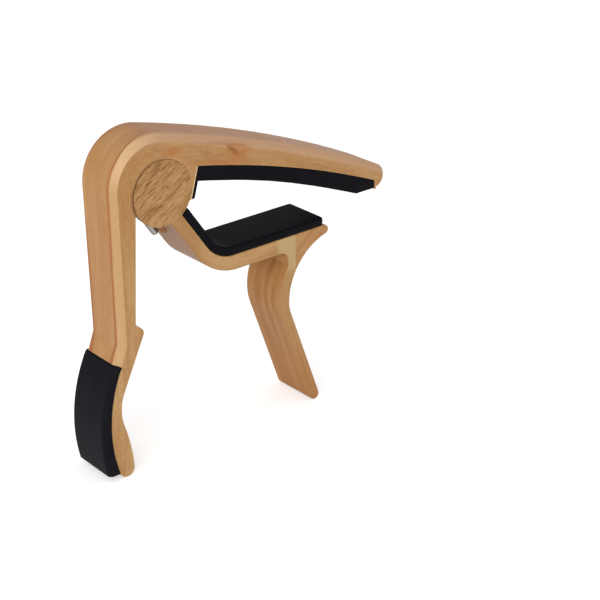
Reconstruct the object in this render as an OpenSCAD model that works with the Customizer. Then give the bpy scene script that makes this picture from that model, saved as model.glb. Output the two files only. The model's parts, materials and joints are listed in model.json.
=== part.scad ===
// Guitar capo: a spring clamp for a guitar neck. A cast frame (string arm and handle in one) and a
// cast jaw (seat and trigger in one) turn on a hidden pin, and a torsion spring holds them closed.
//
// The capo stands on the tips of its handle and trigger. +Z is up, +X runs along the string arm away
// from the handle, and Y = 0 lies midway between the flat sides. The origin is on the floor, midway
// between the back of the handle grip and the nose of the string arm. Outlines are drawn in the XZ
// plane around the pivot axis, with heights above the floor turned by up(), and moved by place().

/* [Overall] */
// Width across the flat sides of both castings
body_w = 15; // [14.4:0.1:18]
// Height of the pivot axis above the two tips
pivot_h = 76.3; // [74:0.1:84]
// Distance from the pivot axis to the flat outer face of the handle
handle_x = 15.3; // [15:0.1:17]
// Distance from the pivot axis to the hook that ends the string pad
arm_reach = 72.4; // [64:0.1:80]
// How far the jaw opens, in degrees
open_angle = 40; // [20:1:42]

/* [String arm] */
// Height of the crown of the corner above the pivot axis
crown_h = 15.95; // [15.5:0.05:18]
// Radius of the corner between handle and arm
corner_r = 13.2; // [11:0.1:14.5]
// Fall of the arm's top where it leaves the corner, in degrees
arm_fall = 13.2; // [12:0.1:14]
// Radius of the arch of the arm's top
arm_r = 360; // [320:5:420]
// Fall of the arm's underside at the throat, in degrees
under_fall = 11.5; // [11:0.1:13]
// Radius of the arch of the arm's underside
under_r = 309; // [290:1:330]
// Radius of the nose at the end of the arm
nose_r = 3.6; // [3:0.1:4]
// Bevel of the handle and corner
bevel = 1.8; // [1:0.1:2.4]
// Bevel of the arm at its nose
nose_bevel = 1.1; // [0.6:0.1:1.6]

/* [Throat] */
// Distance from the pivot axis to the throat wall
throat_d = 9.5; // [9.5:0.1:11]
// Lean of the throat wall from upright, in degrees
throat_lean = 16; // [12:0.5:20]
// Height of the top of the throat above the pivot axis
throat_top = 4.8; // [4:0.1:5.5]
// Depth of the foot of the throat below the pivot axis
throat_foot = 3.8; // [3:0.1:4.2]

/* [Handle] */
// Thickness of the handle at the foot of the throat
handle_t_top = 6.8; // [6:0.1:7]
// Thickness of the handle just above its heel
handle_t_low = 4.8; // [4:0.1:5.6]
// Height of the end of the straight inner face above the floor
heel_top = 43.1; // [42:0.1:46]
// Height of the heel, the bump that stops the fingers
heel_h = 40.2; // [39:0.1:41]
// Distance from the pivot axis back to the middle of the heel
heel_x = 9.9; // [9.6:0.1:10.4]
// Radius of the heel
heel_r = 1.7; // [1.2:0.1:2]
// Lean of the inner face below the heel, in degrees
tail_lean = 25.5; // [23:0.5:27]
// Height of the kink where the outer face starts to flare
kink_h = 38.5; // [37:0.5:40]
// Flare of the outer face below the kink, in degrees
flare = 21; // [18:0.5:24]
// Length of the flared face, down to the top of the grip
flare_l = 5.7; // [5:0.1:6.5]
// Radius of the hollow for the fingers
waist_r = 13.75; // [12:0.25:15]
// Height of the middle of that hollow above the floor
waist_h = 19.3; // [18:0.1:21]
// Radius of the belly of the tail below it
belly_r = 47.8; // [40:0.2:60]
// Radius of the tail's round tip
tail_tip_r = 2.3; // [2:0.1:2.6]
// Distance from the pivot axis back to the middle of that tip
tail_tip_x = 16; // [15.6:0.1:16.4]

/* [Handle grip] */
// Depth of the rebate that the grip's top edge sits in
rebate = 1.75; // [1.4:0.05:2.1]
// Radius of the grip's inner face
grip_in_r = 42.4; // [38:0.2:48]
// Radius of the grip's outer face
grip_out_r = 45.2; // [42:0.2:50]
// Distance from the pivot axis to the back of the grip
grip_x = 22.8; // [22.4:0.1:23.6]
// How far the grip stands out past each side of the handle
grip_proud = 0.2; // [0:0.05:0.6]
// Bevel of the grip's long edges
grip_bevel = 0.9; // [0.4:0.1:1.2]

/* [Jaw] */
// Lean of the neck below horizontal, in degrees
neck_fall = 56; // [52:0.5:60]
// Distance from the pivot axis to the neck's upper face
neck_over = 0.65; // [0.4:0.05:1]
// Distance from the pivot axis to the neck's lower face
neck_under = 3.05; // [2.8:0.05:3.4]
// Depth of the seat's top below the pivot axis
seat_drop = 23; // [22:0.1:25]
// Thickness of the seat
seat_t = 4.2; // [3.4:0.1:5]
// Radius of the bend between neck and seat on its upper side
bend_in_r = 10.7; // [9:0.1:12]
// Radius of the bend on its lower side
bend_out_r = 15.7; // [14:0.1:17]
// Distance from the pivot axis to the tip of the jaw's nose
jaw_reach = 54.9; // [53:0.1:58]
// Radius of the jaw's nose
jaw_nose_r = 1.3; // [1:0.05:1.5]

/* [Trigger] */
// Distance from the pivot axis to the hollow of the trigger's outer face
trigger_x = 40.5; // [39:0.1:42]
// Depth of that hollow below the pivot axis
trigger_drop = 42.9; // [41:0.1:45]
// Thickness of the trigger at the hollow
trigger_t_top = 3.35; // [2.8:0.05:4]
// Thickness of the straight lever below it
trigger_t = 3.1; // [2.6:0.05:3.6]
// Radius of the inner face behind the hollow
trigger_in_r = 17; // [15:0.1:18]
// Radius of the outer face below the hollow
trigger_low_r = 9; // [7:0.1:12]
// Lean of the lever from upright, in degrees
trigger_lean = 19.1; // [17:0.1:21]
// How far the upright stretch of the inner face, under the seat, stands back from the hollow
trigger_root = 0.1; // [0:0.05:0.6]
// Fillet between that stretch and the seat
trigger_fillet = 2.8; // [1.5:0.1:3.5]

/* [Hinge] */
// Radius of the jaw's ears and of the caps on them
ear_r = 8.7; // [8.2:0.05:8.8]
// Thickness of each ear
ear_t = 1.9; // [1.6:0.05:2]
// Thickness of each cap
cap_t = 0.6; // [0.5:0.05:0.8]
// Gap round the ears, in the frame's recess
ear_gap = 0.35; // [0.25:0.05:0.4]
// Radius of the frame's knuckle
knuckle_r = 8.3; // [8:0.05:8.6]
// Gap between knuckle and jaw
knuckle_gap = 0.3; // [0.3:0.05:0.5]
// Thickness of each thrust washer
washer_t = 0.2; // [0.15:0.05:0.3]
// Outer radius of the washers
washer_r = 6; // [5:0.1:7]
// Play on each face of a washer, and round it
washer_gap = 0.05; // [0.03:0.01:0.1]
// Radius of the pivot pin
pin_r = 2.5; // [2:0.05:2.6]
// Running clearance of the pin in the knuckle
pin_gap = 0.06; // [0.03:0.01:0.1]
// Clearance of the pin in the ears
pin_seat_gap = 0.01; // [0.01:0.01:0.03]

/* [Spring] */
// Diameter of the wire
wire_d = 2; // [1.8:0.1:2.1]
// Axial gap between turns
coil_gap = 0.08; // [0.05:0.01:0.2]
// Whole turns of the coil, besides the stretch between its two legs
coil_turns = 2; // [1:1:2]
// Direction in which the leg in the frame leaves the coil, in degrees above the arm
frame_leg_a = 100; // [90:1:110]
// Length of the leg in the frame
frame_leg_l = 7.5; // [6:0.5:9]
// Length of the leg behind the jaw's neck
jaw_leg_l = 13.4; // [11:0.1:15]
// Thickness of the rib on the neck's back that the leg bears on
rib_t = 1.05; // [0.6:0.05:1.2]
// Length of that rib past the end of the leg
rib_past = 0.6; // [0:0.1:1.5]
// Gap between the leg and the rib
leg_gap = 0.05; // [0.03:0.01:0.2]
// Clearance of the coil in its pocket
pocket_gap = 0.5; // [0.4:0.05:0.6]
// Clearance of the spring to each side wall of its pocket
pocket_side_gap = 0.15; // [0.1:0.05:0.2]
// Clearance of the frame leg in its hole
leg_hole_gap = 0.12; // [0.08:0.01:0.2]
// Gap at the stop that ends the jaw's closing
stop_gap = 0.03; // [0.02:0.01:0.05]
// Clearance of the jaw's tongue to each side wall of the pocket
tongue_gap = 0.2; // [0.15:0.05:0.3]

/* [Pads] */
// How far the string pad and the neck pad stay back from each side
pad_inset = 0.1; // [0:0.05:1]
// Thickness of the string pad
string_pad_t = 4.1; // [3:0.1:5]
// Thickness of its leg down the throat
throat_leg_t = 1.05; // [0.8:0.05:1.5]
// Length of the slanted end of the string pad
string_pad_slope = 7.6; // [5:0.1:9]
// Gap between the pad and the hook
hook_gap = 0.1; // [0:0.05:0.3]
// Thickness of the neck pad
neck_pad_t = 2.5; // [2:0.1:3]
// Distance from the pivot axis to the end of the neck pad
neck_pad_end = 53.4; // [50:0.1:54]
// Gap between the neck pad and the caps
neck_pad_gap = 0.2; // [0.1:0.05:0.5]
// Radius of the neck pad's corners, seen from above
pad_corner_r = 2.6; // [1:0.1:4]
// Width of the key on the back of each pad
key_w = 5; // [3:0.1:6]
// Depth of that key
key_d = 1.2; // [0.8:0.05:1.3]
// Clearance of the key in its groove
key_gap = 0.1; // [0.05:0.01:0.2]

/* [Hidden] */
$fn = 96;
big_fn = 256;   // facets of the long, flat arcs
span = 400;     // half the side of the squares that stand for half planes
past = 1;       // how far a cut runs past the face that it opens
lap = 0.002;    // how far an arc laps over the straight faces that it joins
wire_sides = 16;
wire_steps = 30; // rings in each turn of the coil

function dir(a) = [cos(a), sin(a)];
function up(z) = z - pivot_h;
// The meeting point of two circles that lies to the left of the line from a to b
function meet(a, ra, b, rb) =
    let (d = norm(b - a), u = (b - a) / d, k = (d * d + ra * ra - rb * rb) / (2 * d))
    a + k * u + sqrt(ra * ra - k * k) * [-u.y, u.x];
// The point at distance d from the pivot axis towards n, moved s along the face there
function along(n, d, s) = d * dir(n) + s * dir(n - 90);

half_w = body_w / 2;
pad_w = body_w - 2 * pad_inset;

// String arm: the corner's circle lies against the arch of the top, and so does the nose's circle
top_a = 90 - arm_fall;
corner_c = [corner_r - handle_x, crown_h - corner_r];
top_c = corner_c - (arm_r - corner_r) * dir(top_a);
nose_x = arm_reach + 0.5;
nose_a = acos((nose_x - top_c.x) / (arm_r - nose_r));
nose_c = top_c + (arm_r - nose_r) * dir(nose_a);

// Throat: a leaning wall, and the underside's arch from its top
function throat_x(z) = (throat_d + z * sin(throat_lean)) / cos(throat_lean);
throat_corner = [throat_x(throat_top), throat_top];
under_c = throat_corner - under_r * dir(90 - under_fall);

// Handle and tail
inner_top = [handle_t_top - handle_x, -throat_foot];
inner_low = [handle_t_low - handle_x, up(heel_top)];
heel_c = [-heel_x, up(heel_h)];
heel_from = heel_c + heel_r * dir(45);
heel_to = heel_c + heel_r * dir(-tail_lean);
tail_n = dir(-tail_lean);
waist_c = [(tail_n * heel_to + waist_r - tail_n.y * up(waist_h)) / tail_n.x, up(waist_h)];
waist_from = waist_c - waist_r * tail_n;
tail_tip_c = [-tail_tip_x, up(tail_tip_r + lap)];
belly_c = meet(tail_tip_c, belly_r - tail_tip_r, waist_c, belly_r + waist_r);
belly_from = waist_c + waist_r * (belly_c - waist_c) / norm(belly_c - waist_c);
belly_to = tail_tip_c + tail_tip_r * (tail_tip_c - belly_c) / norm(tail_tip_c - belly_c);
kink = [-handle_x, up(kink_h)];
shoulder_out = kink + flare_l * dir(-90 - flare);
shoulder_in = shoulder_out + rebate * dir(-flare);
core_c = meet(shoulder_in, grip_in_r, tail_tip_c, grip_in_r - tail_tip_r);
core_end = tail_tip_c + tail_tip_r * (tail_tip_c - core_c) / norm(tail_tip_c - core_c);
grip_c_z = shoulder_out.y - sqrt(pow(grip_out_r, 2) - pow(grip_out_r - grip_x - shoulder_out.x, 2));
grip_c = [grip_out_r - grip_x, grip_c_z];

// Jaw
neck_n = 90 - neck_fall;
seat_z = -seat_drop;
jaw_nose_c = [jaw_reach - jaw_nose_r, seat_z - jaw_nose_r];

// Trigger: the outer face is one arc from the nose to the hollow, a second arc below it, and the
// lever's straight face; the inner face is one arc from the lever to the root under the seat
nose_run = jaw_nose_c - [trigger_x, -trigger_drop];
out_r = (nose_run * nose_run - pow(jaw_nose_r, 2)) / (2 * (nose_run.x + jaw_nose_r));
hollow_c = [trigger_x + out_r, -trigger_drop];
nose_touch = jaw_nose_c + jaw_nose_r * (hollow_c - jaw_nose_c) / norm(hollow_c - jaw_nose_c);
low_c = [trigger_x + trigger_low_r, -trigger_drop];
lever_n = dir(180 + trigger_lean);
lever_run = dir(270 + trigger_lean);
lever_out = low_c + trigger_low_r * lever_n;
lever_in = lever_out + trigger_t * lever_n;
lever_mid = (lever_out + lever_in) / 2;
trigger_in_x = trigger_x - trigger_t_top;
inner_x = trigger_in_x + trigger_in_r;
inner_c = [inner_x, (lever_in * lever_n - trigger_in_r - inner_x * lever_n.x) / lever_n.y];
inner_touch = inner_c + trigger_in_r * lever_n;
root_x = trigger_x - trigger_root;
root = [root_x, inner_c.y + sqrt(pow(trigger_in_r, 2) - pow(inner_c.x - root_x, 2))];
fillet_c = [root_x - trigger_fillet, seat_z - seat_t - trigger_fillet];
trigger_tip_r = trigger_t / 2;
trigger_tip_c = lever_mid + lever_run * (up(trigger_tip_r + lap) - lever_mid.y) / lever_run.y;

// Hinge, outwards from the middle: pocket, cheek, washer, ear and cap
cap_in = half_w - cap_t;
ear_in = cap_in - ear_t;
cheek_out = ear_in - washer_t - 2 * washer_gap;
recess_r = ear_r + ear_gap;
hub_r = knuckle_r + knuckle_gap;
pin_l = 2 * cap_in - 2 * washer_gap;

// Spring: the jaw leg lies along the rib on the neck's back, and sets the coil's radius
wire_r = wire_d / 2;
coil_r = neck_under + rib_t + leg_gap + wire_r;
coil_from = frame_leg_a + 90;
coil_to = 360 * (coil_turns + 1) - 90 - neck_fall;
coil_sweep = coil_to - coil_from;
coil_half = (wire_d + coil_gap) * coil_sweep / 360 / 2;
pocket_r = coil_r + wire_r + pocket_gap;
pocket_half = coil_half + wire_r + pocket_side_gap;
tongue_half = pocket_half - tongue_gap;

mid_x = (nose_x + nose_r - grip_x) / 2;

module place() {
    translate([-mid_x, 0, pivot_h]) children();
}

// A flat outline given its width along Y, from y0 to y1
module across(y0, y1) {
    translate([0, y1, 0]) rotate([90, 0, 0]) linear_extrude(height = y1 - y0) children();
}

module wide(w) {
    across(-w / 2, w / 2) children();
}

module rod(r, y0, y1) {
    across(y0, y1) circle(r = r);
}

module both_sides() {
    children();
    mirror([0, 1, 0]) children();
}

module disc(c, r, fn = $fn) {
    translate(c) circle(r = r, $fn = fn);
}

// All points at a distance of d or more from the pivot axis towards n
module half_plane(n, d) {
    rotate(n) translate([d, -span]) square(2 * span);
}

module left_of(x) {
    translate([x - 2 * span, -span]) square(2 * span);
}

module above(z) {
    translate([-span, z]) square(2 * span);
}

// A bevel of size c on both long edges of a face of radius r, from angle a0 to a1 around c0
module arc_bevel(c0, r, c, a0, a1, w = body_w) {
    both_sides()
        translate([c0.x, 0, c0.y]) rotate([90, 0, 0]) rotate([0, 0, a0])
            rotate_extrude(angle = a1 - a0, $fn = r > 100 ? big_fn : $fn)
                polygon([
                    [r - c - past, w / 2 + past],
                    [r + past, w / 2 - c - past],
                    [r + past, w / 2 + past]
                ]);
}

// The same bevel on a straight face, from p in direction a for a length l, with the solid on its right
module edge_bevel(p, a, l, c) {
    both_sides()
        translate([p.x, 0, p.y]) rotate([0, 90 - a, 0]) linear_extrude(height = l)
            polygon([
                [c + past, half_w + past],
                [-past, half_w - c - past],
                [-past, half_w + past]
            ]);
}

// ---- frame arm ----

module top_arch() {
    disc(top_c, arm_r, big_fn);
}

module under_arch(extra = 0) {
    disc(under_c, under_r + extra, big_fn);
}

// The open space under the string arm, from the throat wall to the hook
module mouth() {
    intersection() {
        under_arch();
        half_plane(-throat_lean, throat_d);
        left_of(arm_reach);
    }
}

module arm_outline() {
    difference() {
        union() {
            intersection() {
                top_arch();
                polygon([
                    corner_c,
                    corner_c + 2 * corner_r * dir(top_a),
                    nose_c + 2 * nose_r * dir(nose_a),
                    nose_c,
                    [throat_x(-throat_foot) + past, -throat_foot],
                    inner_top
                ]);
            }
            disc(nose_c, nose_r + lap);
            intersection() {
                disc(corner_c, corner_r + lap);
                above(-throat_foot);
            }
        }
        mouth();
    }
}

module handle_outline() {
    polygon([
        [-handle_x, corner_c.y],
        corner_c,
        inner_top,
        inner_low,
        heel_from,
        heel_c,
        heel_to,
        waist_from,
        shoulder_in,
        shoulder_out,
        kink
    ]);
    disc(heel_c, heel_r + lap);
}

// The tail below the grip's shoulder: straight face, finger hollow, belly and tip
module tail_outline() {
    back_x = core_c.x - grip_in_r - past;
    intersection() {
        disc(core_c, grip_in_r);
        difference() {
            polygon([
                shoulder_in,
                heel_c,
                waist_from,
                belly_from,
                [back_x, belly_from.y],
                [back_x, shoulder_in.y]
            ]);
            disc(waist_c, waist_r);
        }
    }
    intersection() {
        disc(core_c, grip_in_r);
        disc(belly_c, belly_r + lap);
        translate([-span, belly_to.y]) square([span, belly_from.y + past - belly_to.y]);
    }
    disc(tail_tip_c, tail_tip_r + lap);
}

// The key on the string pad's back: a strip of depth d behind the face that the pad lies on
module string_key(d) {
    intersection() {
        difference() {
            under_arch(d);
            under_arch();
        }
        half_plane(0, throat_corner.x + key_w);
        left_of(arm_reach - key_w);
    }
}

// The key on the grip's back, in the same way
module grip_key(d) {
    shoulder_n = -90 - flare;
    intersection() {
        difference() {
            disc(core_c, grip_in_r);
            disc(core_c, grip_in_r - d);
        }
        left_of(inner_low.x);
        above(core_end.y + key_w);
        half_plane(shoulder_n, shoulder_in * dir(shoulder_n) + key_w);
    }
}

// Room for the coil, and for the leg and tongue to swing in as the jaw opens
module pocket_outline() {
    circle(r = pocket_r);
    intersection() {
        half_plane(neck_n + 180, -neck_over - stop_gap);
        half_plane(neck_n - open_angle, -pocket_r);
        half_plane(-90 - open_angle / 2, 0);
    }
}

module frame_arm() {
    leg_base = coil_r * dir(coil_from);
    color("burlywood") place() difference() {
        union() {
            wide(body_w) {
                arm_outline();
                handle_outline();
                tail_outline();
            }
            rod(knuckle_r, -cheek_out, cheek_out);
        }
        both_sides() rod(recess_r, cheek_out, half_w + past);
        wide(2 * pocket_half) pocket_outline();
        rod(pin_r + pin_gap, -half_w, half_w);
        translate([leg_base.x, -coil_half, leg_base.y]) rotate([0, 90 - frame_leg_a, 0])
            cylinder(r = wire_r + leg_hole_gap, h = frame_leg_l + wire_r);
        wide(key_w + 2 * key_gap) string_key(key_d + key_gap);
        wide(key_w + 2 * key_gap) grip_key(key_d + key_gap);
        frame_bevels();
    }
}

// The bevel is widest round the corner, and narrows along the arm to the nose. Shifting the arch's
// centre along the arm does that.
module frame_bevels() {
    mid_a = (top_a + nose_a) / 2;
    mid_bevel = (bevel + nose_bevel) / 2;
    shift = (bevel - nose_bevel) / 2 / sin((top_a - nose_a) / 2);
    arc_bevel(top_c - shift * dir(mid_a + 90), arm_r, mid_bevel + lap, nose_a - 0.4, top_a + 0.7);
    arc_bevel(nose_c, nose_r, nose_bevel, -90, nose_a + 1);
    arc_bevel(corner_c, corner_r, bevel, top_a - 0.5, 180.5);
    // the two straight bevels overlap at the kink, where the outline is hollow
    ease = (bevel + lap) * tan(flare / 2) + lap;
    edge_bevel(kink - [0, ease], 90, corner_c.y - kink.y + ease + past, bevel + lap);
    edge_bevel(shoulder_out - dir(90 - flare), 90 - flare, flare_l + past + ease, bevel);
}

// ---- soft parts on the frame ----

module grip_outline() {
    difference() {
        intersection() {
            disc(grip_c, grip_out_r);
            left_of(shoulder_in.x);
            above(core_end.y);
        }
        disc(core_c, grip_in_r);
        translate(shoulder_in) rotate(-flare) translate([-span, 0]) square(2 * span);
    }
}

module handle_grip() {
    color("dimgray") place() {
        difference() {
            wide(body_w + 2 * grip_proud) grip_outline();
            arc_bevel(grip_c, grip_out_r, grip_bevel, 150, 200, body_w + 2 * grip_proud);
        }
        wide(key_w) grip_key(key_d);
    }
}

module string_pad() {
    pad_r = under_r - string_pad_t;
    slope_x = arm_reach - hook_gap - string_pad_slope;
    slope_z = under_c.y + sqrt(pow(pad_r, 2) - pow(slope_x - under_c.x, 2));
    color("dimgray") place() {
        wide(pad_w) {
            intersection() {
                difference() {
                    under_arch();
                    difference() {
                        disc(under_c, pad_r, big_fn);
                        half_plane(-throat_lean, -throat_d);
                    }
                    disc(under_c, pad_r, big_fn);
                }
                half_plane(-throat_lean, throat_d);
                left_of(arm_reach - hook_gap);
                above(slope_z);
            }
            intersection() {
                under_arch();
                half_plane(-throat_lean, throat_d);
                half_plane(180 - throat_lean, -throat_d - throat_leg_t);
                above(-throat_foot);
            }
        }
        wide(key_w) string_key(key_d);
    }
}

// ---- jaw ----

// All points over the neck's line and over a level line, with the bend between them rounded
module over_bend(d, z, r) {
    c = [(d + r - (z + r) * sin(neck_n)) / cos(neck_n), z + r];
    disc(c, r + lap);
    polygon([
        c,
        c - r * dir(neck_n),
        along(neck_n, d, -span / 2),
        [span, span],
        [span, z],
        [c.x, z]
    ]);
}

module jaw_bar() {
    difference() {
        over_bend(-neck_under, seat_z - seat_t, bend_out_r);
        over_bend(neck_over, seat_z, bend_in_r);
        half_plane(0, jaw_nose_c.x);
        half_plane(neck_n + 90, 0);
        hollow();
    }
}

module hollow() {
    intersection() {
        disc(hollow_c, out_r);
        above(-trigger_drop);
    }
}

module trigger_outline() {
    difference() {
        union() {
            intersection() {
                disc(inner_c, trigger_in_r + lap);
                polygon([
                    lever_out,
                    lever_mid + past * lever_run,
                    inner_touch + past * (lever_run + lever_n),
                    [trigger_in_x - past, inner_c.y],
                    [trigger_in_x - past, root.y + past],
                    [jaw_nose_c.x, root.y + past],
                    [jaw_nose_c.x, -trigger_drop]
                ]);
            }
            polygon([
                root,
                [root.x, seat_z - past],
                [jaw_nose_c.x, seat_z - past],
                jaw_nose_c,
                [nose_touch.x, jaw_nose_c.y],
                [nose_touch.x, root.y]
            ]);
            difference() {
                translate(fillet_c) square(trigger_fillet + past);
                disc(fillet_c, trigger_fillet);
            }
        }
        hollow();
        disc(low_c, trigger_low_r + lap);
    }
    polygon([
        lever_out,
        inner_touch,
        trigger_tip_c + trigger_tip_r * lever_n,
        trigger_tip_c - trigger_tip_r * lever_n
    ]);
    disc(trigger_tip_c, trigger_tip_r + lap);
    disc(jaw_nose_c, jaw_nose_r + lap);
}

// The rib under the spring's leg, with a sloped end
module rib_outline() {
    rib_end = jaw_leg_l + wire_r + rib_past;
    polygon([
        along(neck_n, 0, 0),
        along(neck_n, -neck_under - rib_t, 0),
        along(neck_n, -neck_under - rib_t, rib_end),
        along(neck_n, -neck_under, rib_end + rib_t),
        along(neck_n, 0, rib_end + rib_t)
    ]);
}

module trigger_jaw() {
    color("burlywood") place() difference() {
        union() {
            wide(body_w) {
                jaw_bar();
                trigger_outline();
            }
            across(coil_half - wire_r, tongue_half) rib_outline();
            both_sides() rod(ear_r, ear_in, cap_in);
        }
        difference() {
            rod(hub_r, -ear_in, ear_in);
            wide(2 * tongue_half) half_plane(-neck_fall, pocket_r - past);
        }
        rod(pocket_r, -ear_in, ear_in);
        both_sides() rod(ear_r, cap_in, half_w + past);
        rod(pin_r + pin_seat_gap, -half_w, half_w);
        wide(key_w + 2 * key_gap) neck_key(key_d + key_gap);
    }
}

// The key under the neck pad, where the seat is flat
module neck_key(d) {
    bend_end = (neck_over + bend_in_r + seat_drop * sin(neck_n)) / cos(neck_n);
    translate([bend_end + key_w / 2, seat_z - d])
        square([neck_pad_end - key_w - bend_end - key_w / 2, d]);
}

module neck_pad() {
    color("dimgray") place() {
        intersection() {
            wide(pad_w) intersection() {
                difference() {
                    over_bend(neck_over, seat_z, bend_in_r);
                    over_bend(neck_over + neck_pad_t, seat_z + neck_pad_t, bend_in_r - neck_pad_t);
                }
                half_plane(-neck_fall, ear_r + neck_pad_gap);
                left_of(neck_pad_end);
            }
            translate([0, 0, -span]) linear_extrude(height = 2 * span) pad_plan();
        }
        wide(key_w) neck_key(key_d);
    }
}

// The neck pad seen from above: a strip with two round corners
module pad_plan() {
    c = [neck_pad_end - pad_corner_r, pad_w / 2 - pad_corner_r];
    translate([-span, -pad_w / 2]) square([span + c.x, pad_w]);
    translate([-span, -c.y]) square([span + neck_pad_end, 2 * c.y]);
    disc(c, pad_corner_r);
    disc([c.x, -c.y], pad_corner_r);
}

// ---- hinge ----

module pivot_pin() {
    color("silver") place() rod(pin_r, -pin_l / 2, pin_l / 2);
}

module front_cap() {
    color("peru") place() rod(ear_r - washer_gap, -half_w, -cap_in);
}

module back_cap() {
    color("peru") place() rod(ear_r - washer_gap, cap_in, half_w);
}

module washer() {
    across(cheek_out + washer_gap, ear_in - washer_gap) difference() {
        circle(r = washer_r);
        circle(r = pin_r + washer_gap);
    }
}

module front_washer() {
    color("white") place() mirror([0, 1, 0]) washer();
}

module back_washer() {
    color("white") place() washer();
}

// ---- torsion spring ----

function wire_path() = let (
    steps = ceil(wire_steps * coil_sweep / 360),
    first = coil_r * dir(coil_from) + frame_leg_l * dir(frame_leg_a),
    last = coil_r * dir(coil_to) + jaw_leg_l * dir(-neck_fall)
) [
    [first.x, -coil_half, first.y],
    for (i = [0:steps])
        let (p = coil_r * dir(coil_from + coil_sweep * i / steps))
        [p.x, -coil_half + 2 * coil_half * i / steps, p.y],
    [last.x, coil_half, last.y]
];

// A round bar of radius r along the points of a path, as one closed surface. Each ring stands square
// to the path, with one of its axes along the radius from the pivot axis.
module wire(path, r) {
    n = len(path);
    function run(i) = let (d = path[min(i + 1, n - 1)] - path[max(i - 1, 0)]) d / norm(d);
    // the ends are rounded by three rings of falling radius
    cap = [for (k = [0:2]) [1 - sin(k * 30), cos(k * 30)]];
    rings = concat(
        [for (k = [2:-1:0]) [path[0] - run(0) * r * sin(k * 30), run(0), cos(k * 30) * r]],
        [for (i = [1:n - 2]) [path[i], run(i), r]],
        [for (k = [0:2]) [path[n - 1] + run(n - 1) * r * sin(k * 30), run(n - 1), cos(k * 30) * r]]
    );
    pts = [
        for (q = rings)
            let (t = q[1], w = cross([0, 1, 0], t), u = w / norm(w), v = cross(t, u))
            for (s = [0:wire_sides - 1])
                q[0] + q[2] * (cos(360 * s / wire_sides) * u + sin(360 * s / wire_sides) * v)
    ];
    last = (len(rings) - 1) * wire_sides;
    polyhedron(
        points = pts,
        faces = concat(
            [[for (s = [0:wire_sides - 1]) s]],
            [
                for (j = [0:len(rings) - 2])
                    for (s = [0:wire_sides - 1])
                        let (a = j * wire_sides + s, b = j * wire_sides + (s + 1) % wire_sides)
                        each [[a, a + wire_sides, b], [b, a + wire_sides, b + wire_sides]]
            ],
            [[for (s = [wire_sides - 1:-1:0]) last + s]]
        )
    );
}

module torsion_spring() {
    color("silver") place() wire(wire_path(), wire_r);
}

frame_arm();
handle_grip();
string_pad();
trigger_jaw();
neck_pad();
pivot_pin();
front_cap();
back_cap();
front_washer();
back_washer();
torsion_spring();
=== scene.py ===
import json
import math

import bmesh
import bpy
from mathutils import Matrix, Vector


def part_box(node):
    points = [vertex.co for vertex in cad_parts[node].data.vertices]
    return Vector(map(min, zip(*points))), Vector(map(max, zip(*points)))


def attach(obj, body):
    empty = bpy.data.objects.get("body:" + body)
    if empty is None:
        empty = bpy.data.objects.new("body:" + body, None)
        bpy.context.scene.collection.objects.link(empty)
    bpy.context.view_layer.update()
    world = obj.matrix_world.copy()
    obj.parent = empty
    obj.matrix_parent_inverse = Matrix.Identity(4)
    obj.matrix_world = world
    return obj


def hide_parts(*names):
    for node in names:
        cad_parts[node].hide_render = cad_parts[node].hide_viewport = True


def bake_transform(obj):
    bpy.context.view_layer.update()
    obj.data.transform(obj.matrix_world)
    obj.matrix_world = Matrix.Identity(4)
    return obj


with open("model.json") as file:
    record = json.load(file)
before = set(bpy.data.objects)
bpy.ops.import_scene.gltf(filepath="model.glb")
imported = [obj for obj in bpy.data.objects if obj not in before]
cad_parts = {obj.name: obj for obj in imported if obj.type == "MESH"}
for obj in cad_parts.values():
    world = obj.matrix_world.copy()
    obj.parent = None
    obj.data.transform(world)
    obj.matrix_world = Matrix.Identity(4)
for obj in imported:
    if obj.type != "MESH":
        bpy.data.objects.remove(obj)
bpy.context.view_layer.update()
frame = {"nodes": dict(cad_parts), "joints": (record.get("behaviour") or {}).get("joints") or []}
nodes = frame["nodes"]

MM = 0.001
HINGE = next(j for j in frame["joints"] if j["name"] == "jaw_pivot")
PIVOT = Vector(HINGE["pos_m"]) / MM
HALF_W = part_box("trigger_jaw")[1][1] / MM

# Landmarks of the castings that the grain follows, in millimetres from the pivot, as (x, z)
CORNER = (-2.1, 2.75)       # middle of the corner between handle and arm
CORNER_R = 13.2
RECESS_R = 9.05             # of the round recess that the jaw's ears turn in, about the pivot
THROAT_X = 13               # from the corner's middle to the throat
THROAT_D, THROAT_LEAN = 9.5, 16     # the throat wall, from the pivot, and its lean in degrees
KINK_Z = -37.8              # height of the kink in the handle's outer face
KINK_X = -12                # the handle's outer face lies left of this there
ARM_FALL = 13.2             # degrees, where the arm leaves the corner
ARM_R = 360
ARM_FROM, ARM_L = 20, 74    # the arm's bevel narrows from there, along the grain, up to the nose
BEVEL, NOSE_BEVEL = 1.8, 1.1
BEND = (22.0, -12.3)        # middle of the bend between neck and seat
BEND_R = 13
NECK_FALL = 56
SEAT_Z = -23
TRIGGER_Z = -42.9           # height of the hollow of the trigger's outer face
TRIGGER_X = 40.5
TRIGGER_R = 15              # of the curve that the grain follows over that hollow
TRIGGER_LEAN = 19.1

# The pads' ends, where their copies differ a little from the nodes
PAD_FROM, PAD_TURN, PAD_END = 30, 64.7, 72.3      # along the string pad, from the pivot
PAD_SINK, PAD_SLIDE = 1.1, 0.8
PAD_CORNER_R = 2.6          # plan radius of the neck pad's node at its end
PAD_CORNER_POWER = 6        # of the superellipse that the copy has there

# The discs are 3% larger than their nodes, stand a little further out, and sit off centre in the
# frame's recess by that shift in millimetres
DISC_GROWTH = 0.030
DISC_WIDTH = 1.002
DISC_SHIFT = 0.12

# How a copy's mesh is cleaned and where it is rounded
MERGE = 0.012               # millimetres
FLAT, SHARP = 0.8, 25       # degrees between two faces

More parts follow.
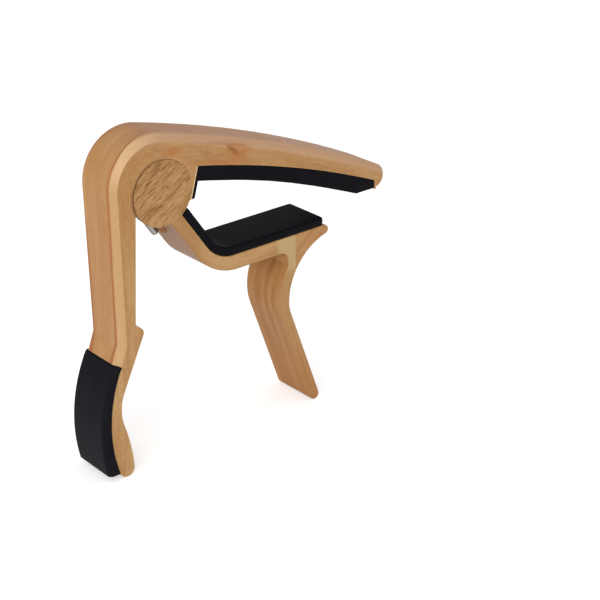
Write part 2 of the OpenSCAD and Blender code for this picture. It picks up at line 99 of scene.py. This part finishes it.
# Marks of the film on the frame's near side: the middle from the pivot and the half-axes in
# millimetres, and the turn from level in degrees
KNOT = {"at": (24.0, 6.2), "size": (4.4, 2.4), "turn": -20}
KNOT_EYE = {"at": (22.4, 6.6), "size": (2.0, 0.45), "turn": -42, "soft": 0.8}
KNOT_BROW = {"at": (20.8, 8.6), "size": (5.0, 0.5), "turn": -14, "soft": 0.8}
KNOT_TAIL = {"at": (13.0, 7.2), "size": (7.0, 1.5), "turn": -13}
RUST_SPOT = {"at": (3.4, 10.2), "size": (2.8, 1.0), "turn": 4, "soft": 0.8}
ARM_UNDERSIDE = {"at": (17.5, 4.3), "size": (8.0, 0.6), "turn": -13, "soft": 0.8}

# Where the frame's tones, painted shade and painted highlight fade in, each as the place of none and
# the place of full, in millimetres along the grain from where the handle meets the corner
HANDLE_SHADE = (18, 4)
CORNER_HIGHLIGHT_IN, CORNER_HIGHLIGHT_OUT = (0, 9), (28, 19)
ARM_TONE = (8, 26)
STRAY_ON_HANDLE, STRAY_AT_KINK = (-6, -30), (-40, -48)

# The line beside the bevels, in millimetres in from the bevel's edge: everywhere, further over the
# arm, and where it strays on the handle
LINE_IN, LINE_IN_ON_ARM, LINE_STRAY = 0.05, 2.1, 0.9

# The same kind of fades in x or z from the pivot: the throat's painted highlight on its lip, the
# painted shadow round the recess's left half, and the tones and painted shade of the jaw
LIP_UNDER, LIP_LEFT_OF = (5.0, 4.6), (12.3, 11.8)
RECESS_SHADOW_LEFT_OF = (3.0, -3.0)
TRIGGER_UNDER = (SEAT_Z - 5, SEAT_Z - 7)
FOOT_UNDER = (TRIGGER_Z, TRIGGER_Z - 25)
NECK_LEFT_OF, NECK_SIDE_LEFT_OF = (32, 26), (16, 8)
UNDER_SEAT_FROM = (33, 37)
PATCH_FROM, PATCH_OVER = (35.5, 38.0), (SEAT_Z - 12, SEAT_Z - 8)
JOIN_X, JOIN_SOFT = 43.0, 0.1       # the film's join on the jaw, past the trigger's root
PORE_SLOPE = 29                     # degrees, of the grain on the discs

# The photo's view, in metres and degrees, with the lens in millimetres
CAMERA_AT = (-0.23226, -0.30851, 0.21553)
CAMERA_TURN = (65.009, 0.704, -40.004)
LENS, SENSOR = 92.46, 36

FLOOR_SIZE = 6
PAPER_GLOW = 0.45
SKY_LIGHT = 0.66
KEY_AT, KEY_AIM = (-0.57, -0.39, 0.30), (0, 0, 0.05)
KEY_SIZE, KEY_POWER = 0.5, 2.4


# ---- node trees ----

def rgb(r, g, b):
    """A colour given in 0-255 sRGB, as linear RGBA."""
    def one(c):
        c /= 255
        return c / 12.92 if c <= 0.04045 else ((c + 0.055) / 1.055) ** 2.4
    return (one(r), one(g), one(b), 1)


class Tree:
    """A material's node tree, built from one call per node."""

    def __init__(self, name):
        self.mat = bpy.data.materials.new(name)
        self.mat.use_nodes = True
        self.nodes = self.mat.node_tree.nodes
        self.links = self.mat.node_tree.links
        self.nodes.clear()

    def add(self, kind, out=0, props=None, inputs=()):
        """A new node, with inputs as (socket name or number, value or other node's socket)."""
        n = self.nodes.new("ShaderNode" + kind)
        for k, v in (props or {}).items():
            setattr(n, k, v)
        for key, v in inputs:
            if isinstance(v, bpy.types.NodeSocket):
                self.links.new(v, n.inputs[key])
            else:
                n.inputs[key].default_value = v
        return n.outputs[out]

    def math(self, op, *values):
        return self.add("Math", props={"operation": op}, inputs=enumerate(values))

    def plus(self, a, b):
        return self.math("ADD", a, b)

    def minus(self, a, b):
        return self.math("SUBTRACT", a, b)

    def times(self, product, *values):
        for v in values:
            product = self.math("MULTIPLY", product, v)
        return product

    def absolute(self, a):
        return self.math("ABSOLUTE", a)

    def length(self, a, b):
        """The length of the vector (a, b)."""
        return self.math("SQRT", self.plus(self.times(a, a), self.times(b, b)))

    def vector(self, x, y, z):
        return self.add("CombineXYZ", inputs=enumerate((x, y, z)))

    def split(self, v):
        n = self.nodes.new("ShaderNodeSeparateXYZ")
        self.links.new(v, n.inputs[0])
        return n.outputs[0], n.outputs[1], n.outputs[2]

    def fade(self, value, low, high, smooth=True):
        """0 below low, 1 above high, or the other way round where low is the larger."""
        flip = low > high
        kind = "SMOOTHSTEP" if smooth else "LINEAR"
        to = (1.0, 0.0) if flip else (0.0, 1.0)
        low, high = min(low, high), max(low, high)
        return self.add("MapRange", props={"interpolation_type": kind},
                        inputs=[(0, value), (1, low), (2, high), (3, to[0]), (4, to[1])])

    def mix(self, factor, a, b):
        """The colour a where factor is 0, b where it is 1."""
        return self.add("Mix", out=2, props={"data_type": "RGBA"}, inputs=[(0, factor), (6, a), (7, b)])

    def pick(self, factor, a, b):
        """The number a where factor is 0, b where it is 1."""
        return self.add("Mix", props={"data_type": "FLOAT"}, inputs=[(0, factor), (2, a), (3, b)])

    def tint(self, color, other, *masks):
        """The colour, moved towards another by the product of the masks."""
        return self.mix(self.times(*masks), color, other)

    def noise(self, v, detail=2.0, rough=0.5, scale=1.0, distortion=0.0):
        return self.add("TexNoise", inputs=[
            ("Vector", v), ("Scale", scale), ("Detail", detail), ("Roughness", rough),
            ("Distortion", distortion),
        ])

    def ramp(self, value, *stops):
        n = self.nodes.new("ShaderNodeValToRGB")
        self.links.new(value, n.inputs[0])
        ramp = n.color_ramp
        while len(ramp.elements) < len(stops):
            ramp.elements.new(0.5)
        for e, (at, color) in zip(ramp.elements, stops):
            e.position = at
            e.color = color
        return n.outputs[0]

    def at_rest(self):
        """The surface's point in the rest pose, in metres."""
        return self.add("TexCoord", out="Object")

    def normal(self):
        """x, y and z of the surface's normal at rest."""
        return self.split(self.add("TexCoord", out="Normal"))

    def place(self):
        """x, y and z of the surface at rest, in millimetres from the pivot."""
        coords = self.split(self.at_rest())
        return [self.minus(self.math("DIVIDE", v, MM), p) for v, p in zip(coords, PIVOT)]

    def turned(self, x, z, degrees):
        """x and z in axes that are turned from level by some degrees."""
        c, s = math.cos(math.radians(degrees)), math.sin(math.radians(degrees))
        along = self.plus(self.times(x, c), self.times(z, s))
        across = self.minus(self.times(z, c), self.times(x, s))
        return along, across

    def spot(self, x, z, at, size, turn=0.0, soft=0.5):
        """1 inside an ellipse of half-axes size, turned from level by turn degrees, and 0 outside it."""
        u, v = self.turned(self.minus(x, at[0]), self.minus(z, at[1]), turn)
        d = self.length(self.math("DIVIDE", u, size[0]), self.math("DIVIDE", v, size[1]))
        return self.fade(d, 1.0 + soft, 1.0 - soft)

    def surface(self, color, height, depth, **shader):
        """A principled surface with relief of that depth in millimetres, as a finished material."""
        bump = self.add("Bump", inputs=[("Height", height), ("Distance", depth * MM), ("Strength", 1.0)])
        sockets = [(k.replace("_", " "), v) for k, v in shader.items()]
        b = self.add("BsdfPrincipled", inputs=[("Base Color", color), ("Normal", bump)] + sockets)
        self.add_output(b)
        return self.mat

    def add_output(self, shader):
        o = self.nodes.new("ShaderNodeOutputMaterial")
        self.links.new(shader, o.inputs["Surface"])


# ---- the castings' wood-grain film ----

PALE = rgb(200, 159, 108)
TAN = rgb(189, 144, 93)
BROWNISH = rgb(180, 133, 82)
MOTTLE = rgb(176, 122, 74)
BROWN = rgb(163, 114, 66)
DARK = rgb(136, 90, 50)
RUST = rgb(182, 110, 60)
CREAM = rgb(200, 174, 124)

# painted shade on the handle's outer face, and painted highlights on the bevels and the round corner's
# bevels
OUTER_FACE_SHADE = rgb(176, 120, 68)
BEVEL_HIGHLIGHT = rgb(206, 170, 122)
CORNER_BEVEL_HIGHLIGHT = rgb(226, 190, 144)
ARM_TOP = rgb(184, 124, 84)
# painted highlight on the arm's rim, paler on the bevel than on the top face
ARM_RIM_HIGHLIGHT, ARM_RIM_HIGHLIGHT_ON_TOP = rgb(202, 160, 128), rgb(186, 140, 108)
LINE = rgb(160, 92, 48)
# painted highlight along the throat's edge
THROAT_EDGE_HIGHLIGHT = rgb(238, 208, 160)
# painted shadow in the gap round the recess's left half
RECESS_SHADOW = rgb(112, 70, 38)

TRIGGER_INSIDE = rgb(168, 112, 50)
TRIGGER_BAND = rgb(148, 92, 42)
TRIGGER_FOOT = rgb(186, 122, 48)
# painted shade under the neck, under the seat and on the jaw's near side
NECK_UNDERSIDE_SHADE = rgb(144, 101, 66)
JAW_SHADE = rgb(164, 116, 66)

DISC_PALE, DISC_TAN, DISC_BROWN = rgb(186, 143, 92), rgb(174, 130, 80), rgb(158, 114, 66)
PORE = rgb(122, 80, 42)
BETWEEN_PORES = rgb(206, 166, 114)


def polar(t, x, z, c):
    """Distance from c, the angle from -X round through +Z in radians, and x and z from c."""
    dx, dz = t.minus(x, c[0]), t.minus(z, c[1])
    return t.length(dx, dz), t.math("ARCTAN2", dz, t.times(dx, -1.0)), dx, dz


def frame_grain(t, x, z):
    """(along, in from the outer face): up the handle, round the corner and out along the arm."""
    sweep = math.radians(90 + ARM_FALL)
    d, angle, dx, dz = polar(t, x, z, CORNER)
    fall = math.radians(ARM_FALL)
    away = ARM_R - CORNER_R
    arm_c = (CORNER[0] - away * math.sin(fall), CORNER[1] - away * math.cos(fall))
    arm_d, arm_a, _, _ = polar(t, x, z, arm_c)
    arm_along = t.math("MULTIPLY_ADD", t.minus(arm_a, sweep), ARM_R, sweep * CORNER_R)
    is_up = t.fade(dz, -0.01, 0.01, False)
    is_arm = t.times(is_up, t.fade(angle, sweep - 0.001, sweep + 0.001, False))
    is_arm = t.math("MAXIMUM", is_arm, t.fade(dx, THROAT_X - 0.1, THROAT_X + 0.1, False))
    along = t.pick(is_arm, t.pick(is_up, dz, t.times(angle, CORNER_R)), arm_along)
    depth = t.pick(is_arm, t.pick(is_up, t.plus(dx, CORNER_R), t.minus(CORNER_R, d)),
                   t.minus(ARM_R, arm_d))
    return along, depth


def jaw_grain(t, x, z):
    """(along, across the bar, across the trigger): down the neck, round the bend, along the seat."""
    d, angle, dx, dz = polar(t, x, z, BEND)
    fall = math.radians(NECK_FALL)
    # the angle runs below -X as a negative one, from the neck's side to the seat's
    turned = t.math("MULTIPLY_ADD", angle, -1.0, fall - math.pi / 2)
    on_neck = t.fade(turned, 0.001, -0.001, False)
    on_seat = t.fade(dx, -0.01, 0.01, False)
    neck_s = t.plus(t.times(dx, math.cos(fall)), t.times(dz, -math.sin(fall)))
    neck_t = t.plus(t.times(dx, -math.sin(fall)), t.times(dz, -math.cos(fall)))
    bar_s = t.pick(on_seat, t.times(turned, BEND_R), t.plus(dx, fall * BEND_R))
    bar_t = t.pick(on_seat, d, t.times(dz, -1.0))
    # the trigger's grain keeps a constant distance from its outer face
    rise = t.minus(z, TRIGGER_Z)
    up = t.math("MAXIMUM", rise, 0.0)
    hollow = t.math("DIVIDE", t.times(up, up), 2 * TRIGGER_R)
    lever = t.times(t.math("MINIMUM", rise, 0.0), -math.tan(math.radians(TRIGGER_LEAN)))
    trigger_t = t.minus(t.minus(x, TRIGGER_X), t.plus(hollow, lever))
    return t.pick(on_neck, bar_s, neck_s), t.pick(on_neck, bar_t, neck_t), trigger_t


def film(t, s, d, y, streaks):
    """The film's colour and relief from a point's place along (s) and across (d, y) the grain."""
    def stretched(along, across):
        """Where to read a noise that has so many features in a millimetre along and across."""
        return t.vector(t.times(s, along), t.times(d, across), t.times(y, across))
    slow = t.noise(stretched(0.03, 0.30), detail=2.0, distortion=0.4)
    color = t.ramp(slow, (0.34, PALE), (0.5, TAN), (0.68, BROWNISH))
    veins = t.noise(stretched(0.022, 0.85), detail=3.0, rough=0.6, distortion=0.6)
    color = t.tint(color, BROWN, t.fade(veins, 0.50, 0.72), 0.6 * streaks)
    fine = t.noise(stretched(0.2, 2.8), detail=4.0, rough=0.7)
    color = t.tint(color, BROWN, t.fade(fine, 0.50, 0.68), 0.42)
    color = t.tint(color, PALE, t.fade(fine, 0.47, 0.32), 0.35)
    mottle = t.noise(stretched(0.45, 0.9), detail=4.0, rough=0.7)
    color = t.tint(color, MOTTLE, t.fade(mottle, 0.5, 0.64), 0.25)
    color = t.tint(color, PALE, t.fade(mottle, 0.5, 0.36), 0.25)
    fibre = t.noise(stretched(0.65, 7.0), detail=3.0, rough=0.65)
    color = t.tint(color, DARK, t.fade(fibre, 0.53, 0.72), 0.34)
    return color, fibre


def film_surface(t, color, relief):
    """Satin, and a little worn."""
    grime = t.noise(t.at_rest(), detail=3.0, scale=260.0)
    rough = t.math("MULTIPLY_ADD", grime, 0.16, 0.36)
    return t.surface(color, relief, depth=0.03, Roughness=rough, Specular_IOR_Level=0.14,
                     Coat_Weight=0.06, Coat_Roughness=0.3)


def on_bevels(t):
    """1 on the bevels, which lie between the sides and the outer faces."""
    tilt = t.absolute(t.split(t.add("NewGeometry", out="True Normal"))[1])
    return t.times(t.fade(tilt, 0.35, 0.42, False), t.fade(tilt, 0.93, 0.88, False))


def near_side(t, ny):
    """1 where the surface faces -Y, as the photo's near side does."""
    return t.fade(ny, -0.6, -0.9)


def frame_tones(t, color, s, d, ny):
    """Painted shade makes the outer face of the handle redder than the sides, and painted highlights
    make the bevels paler.
    """
    # painted shade: the handle's outer face is tinted redder and darker than its sides
    outer = t.times(t.fade(t.absolute(ny), 0.5, 0.3), t.fade(s, *HANDLE_SHADE), t.fade(d, 0.9, 0.3))
    color = t.tint(color, OUTER_FACE_SHADE, outer, 0.45)
    bevels = on_bevels(t)
    round_corner = t.times(t.fade(s, *CORNER_HIGHLIGHT_IN), t.fade(s, *CORNER_HIGHLIGHT_OUT))
    # painted highlights: the bevels are tinted paler, the round corner's bevels paler still
    color = t.tint(color, BEVEL_HIGHLIGHT, bevels, 0.5)
    return t.tint(color, CORNER_BEVEL_HIGHLIGHT, bevels, round_corner, 0.55)


def bevel_line(t, color, s, d, y, nz):
    """A line along the bevel's edge, which leaves it at the kink and again over the arm.

    Over the arm the top is rosy up to that line, and past it there is a pale band of painted highlight."""
    over_arm = t.fade(s, *ARM_TONE)
    narrower = t.times(t.fade(s, ARM_FROM, ARM_FROM + ARM_L, False), BEVEL - NOSE_BEVEL)
    wander = t.noise(t.vector(t.times(s, 0.06), 0.0, t.fade(y, -1, 1)), detail=1.0)
    stray = t.plus(t.times(t.fade(s, *STRAY_ON_HANDLE), LINE_STRAY), t.fade(s, *STRAY_AT_KINK))
    stray = t.times(stray, wander)
    line = t.minus(t.plus(narrower, HALF_W - BEVEL - LINE_IN), stray)
    line = t.minus(line, t.times(over_arm, LINE_IN_ON_ARM))
    past = t.minus(t.absolute(y), line)

    on_top = t.fade(d, 3.0, 1.4)
    color = t.tint(color, ARM_TOP, t.fade(past, 0.25, -0.25), over_arm, on_top, 0.75)
    # painted highlight: the pale band past the line, paler on the bevel than on the top face
    rim = t.mix(t.fade(nz, 0.75, 0.9), ARM_RIM_HIGHLIGHT, ARM_RIM_HIGHLIGHT_ON_TOP)
    color = t.tint(color, rim, t.fade(past, -0.25, 0.25), over_arm, on_top, 0.7)
    off = t.math("DIVIDE", t.absolute(past), t.math("MULTIPLY_ADD", stray, 0.6, 0.5))
    strength = t.math("MULTIPLY_ADD", over_arm, -0.25, 0.8)
    return t.tint(color, LINE, t.fade(off, 1.0, 0.15), t.fade(d, 0.8, 0.3), strength)


def near_side_marks(t, color, x, y, z, s, d, near):
    """The knot with its dark streaks, a rust spot over the hinge, a painted highlight on the throat's
    edge and a painted shadow round the recess's left half.
    """
    # a height that is off by up to 2 mm either way gives the marks ragged edges
    jitter = t.noise(t.vector(t.times(s, 0.35), t.times(d, 1.3), y), detail=4.0, rough=0.65)
    zj = t.plus(z, t.math("MULTIPLY_ADD", jitter, 4.0, -2.0))
    knot = t.times(t.spot(x, zj, **KNOT), t.fade(jitter, 0.36, 0.56))
    tail = t.times(t.spot(x, zj, **KNOT_TAIL), t.fade(jitter, 0.48, 0.62))
    reach = t.length(x, z)
    # painted shadow in the gap round the recess's left half
    recess_shadow = t.times(t.fade(reach, RECESS_R + 1.0, RECESS_R + 0.1), t.fade(x, *RECESS_SHADOW_LEFT_OF))
    # painted highlight along the edge of the throat wall
    throat = math.radians(THROAT_LEAN)
    wall = t.minus(t.times(x, math.cos(throat)), t.times(z, math.sin(throat)))
    lip = t.times(t.fade(wall, THROAT_D - 0.55, THROAT_D - 0.3), t.fade(z, *LIP_UNDER))
    lip = t.times(lip, t.fade(x, *LIP_LEFT_OF))
    for mask, strength, tint in (
        (knot, 0.7, RUST),
        (t.spot(x, zj, **KNOT_EYE), 0.75, DARK),
        (t.spot(x, zj, **KNOT_BROW), 0.5, BROWN),
        (tail, 0.65, BROWN),
        (t.spot(x, zj, **RUST_SPOT), 0.6, RUST),
        (t.spot(x, zj, **ARM_UNDERSIDE), 0.55, RUST),
        (lip, 0.75, THROAT_EDGE_HIGHLIGHT),
        (recess_shadow, 0.75, RECESS_SHADOW),
    ):
        color = t.tint(color, tint, mask, near, strength)
    return color


def frame_film():
    t = Tree("frame_film")
    x, y, z = t.place()
    s, d = frame_grain(t, x, z)
    color, relief = film(t, s, d, y, streaks=0.5)
    _, ny, nz = t.normal()
    near = near_side(t, ny)
    color = frame_tones(t, color, s, d, ny)
    color = bevel_line(t, color, s, d, y, nz)
    color = near_side_marks(t, color, x, y, z, s, d, near)
    return film_surface(t, color, relief)


def jaw_film():
    t = Tree("jaw_film")
    x, y, z = t.place()
    bar_s, bar_t, trigger_t = jaw_grain(t, x, z)
    nx, ny, nz = t.normal()
    near = near_side(t, ny)
    low = t.fade(z, *TRIGGER_UNDER)
    # right of the film's join the near side's grain follows the trigger
    right = t.times(t.fade(x, JOIN_X - JOIN_SOFT, JOIN_X + JOIN_SOFT), t.fade(z, SEAT_Z + 1, SEAT_Z))
    on_trigger = t.math("MAXIMUM", low, right)
    s = t.pick(on_trigger, bar_s, z)
    d = t.pick(on_trigger, bar_t, trigger_t)
    color, relief = film(t, s, d, y, streaks=0.6)

    # broad brown bands down the inner face of the trigger
    bands = t.noise(t.vector(t.times(z, 0.02), t.times(d, 0.4), t.times(y, 0.38)),
                    detail=4.0, rough=0.55, distortion=0.5)
    inner = t.times(t.fade(nx, -0.3, -0.7), low)
    middle = t.fade(t.absolute(y), 7.0, 3.5)
    color = t.tint(color, TRIGGER_INSIDE, inner, 0.5)
    color = t.tint(color, TRIGGER_BAND, inner, t.fade(bands, 0.38, 0.62), middle, 0.6)
    color = t.tint(color, TRIGGER_FOOT, inner, t.fade(z, *FOOT_UNDER), 0.4)

    # painted shade: greyer under the neck, and browner in the corner under the seat
    color = t.tint(color, NECK_UNDERSIDE_SHADE, t.fade(nz, -0.2, -0.5), t.fade(x, *NECK_LEFT_OF), 0.75)
    color = t.tint(color, DARK, t.fade(nz, -0.2, -0.6), t.fade(x, *UNDER_SEAT_FROM), 0.55)

    # the near side is darker on the neck and the trigger, a painted shade, with a pale patch up to the
    # join and rusty streaks past it
    color = t.tint(color, JAW_SHADE, t.math("MAXIMUM", low, t.fade(x, *NECK_SIDE_LEFT_OF)), near, 0.4)
    patch = t.times(t.fade(x, *PATCH_FROM), t.fade(x, JOIN_X + JOIN_SOFT, JOIN_X - JOIN_SOFT))
    color = t.tint(color, CREAM, patch, t.fade(z, *PATCH_OVER), near, 0.75)
    streak = t.noise(t.vector(t.times(z, 0.05), t.times(trigger_t, 0.9), 0.0), detail=2.0)
    color = t.tint(color, RUST, t.fade(streak, 0.42, 0.6), right, near, 0.35)
    return film_surface(t, color, relief)


def cap_film():
    """A coarser grain: short dark pores that slope across the disc."""
    t = Tree("cap_film")
    x, y, z = t.place()
    along, across = t.turned(x, z, PORE_SLOPE)

    def stretched(a, b):
        return t.vector(t.times(along, a), t.times(across, b), y)
    slow = t.noise(stretched(0.07, 0.35), detail=2.0, distortion=0.5)
    color = t.ramp(slow, (0.35, DISC_PALE), (0.5, DISC_TAN), (0.65, DISC_BROWN))
    pores = t.noise(stretched(0.36, 2.2), detail=2.5, rough=0.55, distortion=0.35)
    color = t.tint(color, PORE, t.fade(pores, 0.55, 0.63), 0.75)
    color = t.tint(color, BETWEEN_PORES, t.fade(pores, 0.46, 0.36), 0.55)
    fine = t.noise(stretched(1.2, 6.0), detail=2.0)
    color = t.tint(color, BROWN, t.fade(fine, 0.5, 0.7), 0.3)
    return film_surface(t, color, pores)


# ---- rubber, steel and nylon ----

def rubber(name, color, lighter):
    t = Tree(name)
    grain = t.noise(t.at_rest(), detail=3.0, scale=2600.0)
    cloud = t.noise(t.at_rest(), detail=3.0, scale=120.0)
    c = t.mix(t.fade(cloud, 0.4, 0.7), color, lighter)
    rough = t.math("MULTIPLY_ADD", grain, 0.2, 0.48)
    return t.surface(c, grain, depth=0.025, Roughness=rough, Specular_IOR_Level=0.05)


def metal(name, color, stretch):
    """Drawn or ground metal, with scratches along the direction where stretch is small."""
    t = Tree(name)
    p = t.add("VectorMath", props={"operation": "MULTIPLY"}, inputs=[(0, t.at_rest()), (1, stretch)])
    lines = t.noise(p, detail=3.0, scale=1000.0)
    c = t.mix(lines, color, [v * 0.75 for v in color[:3]] + [1])
    rough = t.math("MULTIPLY_ADD", lines, 0.14, 0.22)
    return t.surface(c, lines, depth=0.006, Roughness=rough, Metallic=1.0)


def nylon():
    t = Tree("nylon")
    haze = t.noise(t.at_rest(), detail=3.0, scale=700.0)
    c = t.mix(haze, rgb(222, 217, 205), rgb(236, 233, 226))
    return t.surface(c, haze, depth=0.01, Roughness=0.42, Subsurface_Weight=0.1)


# ---- pieces ----

def join_crossing(bm):
    """Where the handle's two bevels cross at the kink, one point on each rim stands for the crossing."""
    z = (PIVOT.z + KINK_Z) * MM
    near = [v for v in bm.verts if abs(v.co.z - z) < 0.6 * MM and v.co.x < (PIVOT.x + KINK_X) * MM]
    for side in (-1, 1):
        for rim_y, reach in ((HALF_W - BEVEL, 0.3), (HALF_W, 0.1)):
            rim = [v for v in near if abs(side * v.co.y / MM - rim_y) < reach]
            if len(rim) > 1:
                middle = sum((v.co for v in rim), Vector()) / len(rim)
                bmesh.ops.pointmerge(bm, verts=rim, merge_co=middle)
                near = [v for v in near if v.is_valid]


def deeper_end(bm):
    """The string pad's lower face sinks a little towards the nose, up to its level stretch there."""
    bm.normal_update()
    for v in [v for v in bm.verts if v.normal.z < -0.5]:
        x = v.co.x / MM - PIVOT.x
        if x > PAD_FROM:
            out = min(1, (x - PAD_FROM) / (PAD_TURN - PAD_FROM))
            back = max(0, (x - PAD_TURN) / (PAD_END - PAD_TURN))
            v.co.z -= PAD_SINK * MM * out ** 1.5
            v.co.x += PAD_SLIDE * MM * (out ** 4 - back)


def squarer_corners(bm):
    """The neck pad's two corners at its end go from arcs to superellipses in the same square."""
    x0 = max(v.co.x for v in bm.verts) - PAD_CORNER_R * MM
    y0 = max(v.co.y for v in bm.verts) - PAD_CORNER_R * MM
    for v in bm.verts:
        dx, dy = v.co.x - x0, abs(v.co.y) - y0
        if dx > 0 and dy > 0:
            power = PAD_CORNER_POWER
            out = math.hypot(dx, dy) / (dx ** power + dy ** power) ** (1 / power)
            v.co.x = x0 + dx * out
            v.co.y = math.copysign(y0 + dy * out, v.co.y)


def bevel(bm, pick, width, segments):
    """Rounds the edges that pick says, over a width in millimetres."""
    edges = [e for e in bm.edges if e.is_manifold and pick(e)]
    bmesh.ops.bevel(bm, geom=edges, offset=width * MM, offset_type="OFFSET", segments=segments,
                    profile=0.5, clamp_overlap=False, affect="EDGES")


def sharp_edge(e):
    return e.calc_face_angle() > math.radians(SHARP)


def grip_top_edge(e):
    """The edge between the grip's top face and its back."""
    a, b = sorted((f.normal for f in e.link_faces), key=lambda n: n.z)
    return b.z > 0.8 and a.x < -0.5


def add_piece(name, mesh, mat):
    """A new object with that mesh, smooth and all of one material."""
    mesh.materials.clear()
    mesh.materials.append(mat)
    mesh.shade_smooth()
    piece = bpy.data.objects.new(name, mesh)
    bpy.context.collection.objects.link(piece)
    return piece


def rounded(node, name, mat, body, radius, segments=3, wider=None, shape=None, below=0.0):
    """A copy of a CAD node with its edges rounded by radius millimetres, which stands for that node.

    It stays in the node's box, or reaches past the box's floor by below millimetres. shape changes
    the mesh before any edge is rounded, and wider is a choice of edges and their own radius."""
    bm = bmesh.new()
    bm.from_mesh(nodes[node].data)
    bmesh.ops.remove_doubles(bm, verts=bm.verts, dist=MERGE * MM)
    bmesh.ops.dissolve_limit(bm, angle_limit=math.radians(FLAT), verts=bm.verts, edges=bm.edges)
    if shape:
        shape(bm)
    if wider:
        bevel(bm, *wider, segments=4)
    bevel(bm, sharp_edge, radius, segments)
    low, high = [list(corner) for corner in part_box(node)]
    low[2] -= below * MM
    for v in bm.verts:
        v.co = [min(max(c, a), b) for c, a, b in zip(v.co, low, high)]
    mesh = bpy.data.meshes.new(name)
    bm.to_mesh(mesh)
    bm.free()
    piece = add_piece(name, mesh, mat)
    mod = piece.modifiers.new("normals", "WEIGHTED_NORMAL")
    mod.keep_sharp = True
    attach(piece, body)
    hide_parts(node)
    return piece


def castings():
    frame_mat, jaw_mat, disc_mat = frame_film(), jaw_film(), cap_film()
    rounded("frame_arm", "frame_casting", frame_mat, "frame", 0.16, shape=join_crossing)
    rounded("trigger_jaw", "jaw_casting", jaw_mat, "jaw", 0.22)
    for side in ("front", "back"):
        disc = rounded(side + "_cap", side + "_disc", disc_mat, "jaw", 0.08, segments=2)
        for v in disc.data.vertices:
            v.co.x += (v.co.x - PIVOT.x * MM) * DISC_GROWTH + DISC_SHIFT * MM
            v.co.z += (v.co.z - PIVOT.z * MM) * DISC_GROWTH + DISC_SHIFT * MM / 3
            v.co.y *= DISC_WIDTH


def soft_parts():
    pad = rubber("pad_rubber", rgb(13, 13, 18), rgb(17, 17, 22))
    grip = rubber("grip_rubber", rgb(20, 19, 25), rgb(24, 23, 29))
    rounded("handle_grip", "soft_grip", grip, "frame", 0.35, wider=(grip_top_edge, 0.7))
    top = rounded("string_pad", "string_rubber", pad, "frame", 0.25,
                  shape=deeper_end, below=PAD_SINK)
    low = rounded("neck_pad", "neck_rubber", pad, "jaw", 0.7, segments=4, shape=squarer_corners)


def spring():
    """The wire: a copy of its node in spring steel, which stands for that node."""
    steel = metal("spring_steel", rgb(168, 166, 162), (1.0, 0.15, 1.0))
    piece = add_piece("spring_wire", nodes["torsion_spring"].data.copy(), steel)
    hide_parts("torsion_spring")
    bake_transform(piece)


def hidden_parts():
    """The pin and the washers stay the frame's own objects, in their materials."""
    pin = metal("ground_steel", rgb(196, 196, 198), (1.0, 0.1, 1.0))
    washer = nylon()
    for name, mat in (("pivot_pin", pin), ("front_washer", washer), ("back_washer", washer)):
        mesh = nodes[name].data
        mesh.materials.clear()
        mesh.materials.append(mat)


# ---- floor, light and camera ----

def paper():
    """White paper, which glows a little to the camera, so that it renders white with a soft shadow."""
    t = Tree("paper")
    grain = t.noise(t.at_rest(), detail=3.0, scale=400.0)
    c = t.mix(grain, (0.86, 0.86, 0.86, 1), (0.9, 0.9, 0.9, 1))
    matt = t.add("BsdfPrincipled", inputs=[
        ("Base Color", c), ("Roughness", 0.95), ("Specular IOR Level", 0.1),
    ])
    path = t.nodes.new("ShaderNodeLightPath")
    seen = t.math("MAXIMUM", path.outputs["Is Camera Ray"],
                  t.math("MAXIMUM", path.outputs["Is Glossy Ray"], path.outputs["Is Transmission Ray"]))
    glow = t.add("Emission", inputs=[("Color", (1, 1, 1, 1)), ("Strength", t.times(seen, PAPER_GLOW))])
    t.add_output(t.add("AddShader", inputs=[(0, matt), (1, glow)]))
    return t.mat


def floor():
    bpy.ops.mesh.primitive_plane_add(size=FLOOR_SIZE, location=(0, 0, 0))
    plane = bpy.context.object
    plane.name = "floor"
    plane.data.materials.append(paper())


def sky():
    """Even light from all sides, and a white background to the camera."""
    world = bpy.data.worlds.new("studio")
    bpy.context.scene.world = world
    world.use_nodes = True
    tree = world.node_tree
    back = tree.nodes["Background"]
    path = tree.nodes.new("ShaderNodeLightPath")
    strength = tree.nodes.new("ShaderNodeMapRange")
    tree.links.new(path.outputs["Is Camera Ray"], strength.inputs[0])
    strength.inputs[3].default_value = SKY_LIGHT
    strength.inputs[4].default_value = 1.0
    back.inputs[0].default_value = (1, 1, 1, 1)
    tree.links.new(strength.outputs[0], back.inputs[1])


def key_light():
    light = bpy.data.lights.new("key", "AREA")
    light.shape = "SQUARE"
    light.size = KEY_SIZE
    light.energy = KEY_POWER
    o = bpy.data.objects.new("key", light)
    bpy.context.collection.objects.link(o)
    o.location = KEY_AT
    o.rotation_mode = "QUATERNION"
    o.rotation_quaternion = (Vector(KEY_AIM) - Vector(KEY_AT)).to_track_quat("-Z", "Y")


def camera():
    cam = bpy.data.objects.new("camera", bpy.data.cameras.new("camera"))
    bpy.context.collection.objects.link(cam)
    bpy.context.scene.camera = cam
    cam.data.sensor_width = SENSOR
    cam.data.lens = LENS
    cam.location = CAMERA_AT
    cam.rotation_euler = [math.radians(a) for a in CAMERA_TURN]
    cam.data.clip_start, cam.data.clip_end = 0.01, 20


castings()
soft_parts()
spring()
hidden_parts()
floor()
sky()
key_light()
camera()
bpy.context.scene.view_settings.view_transform = "Standard"
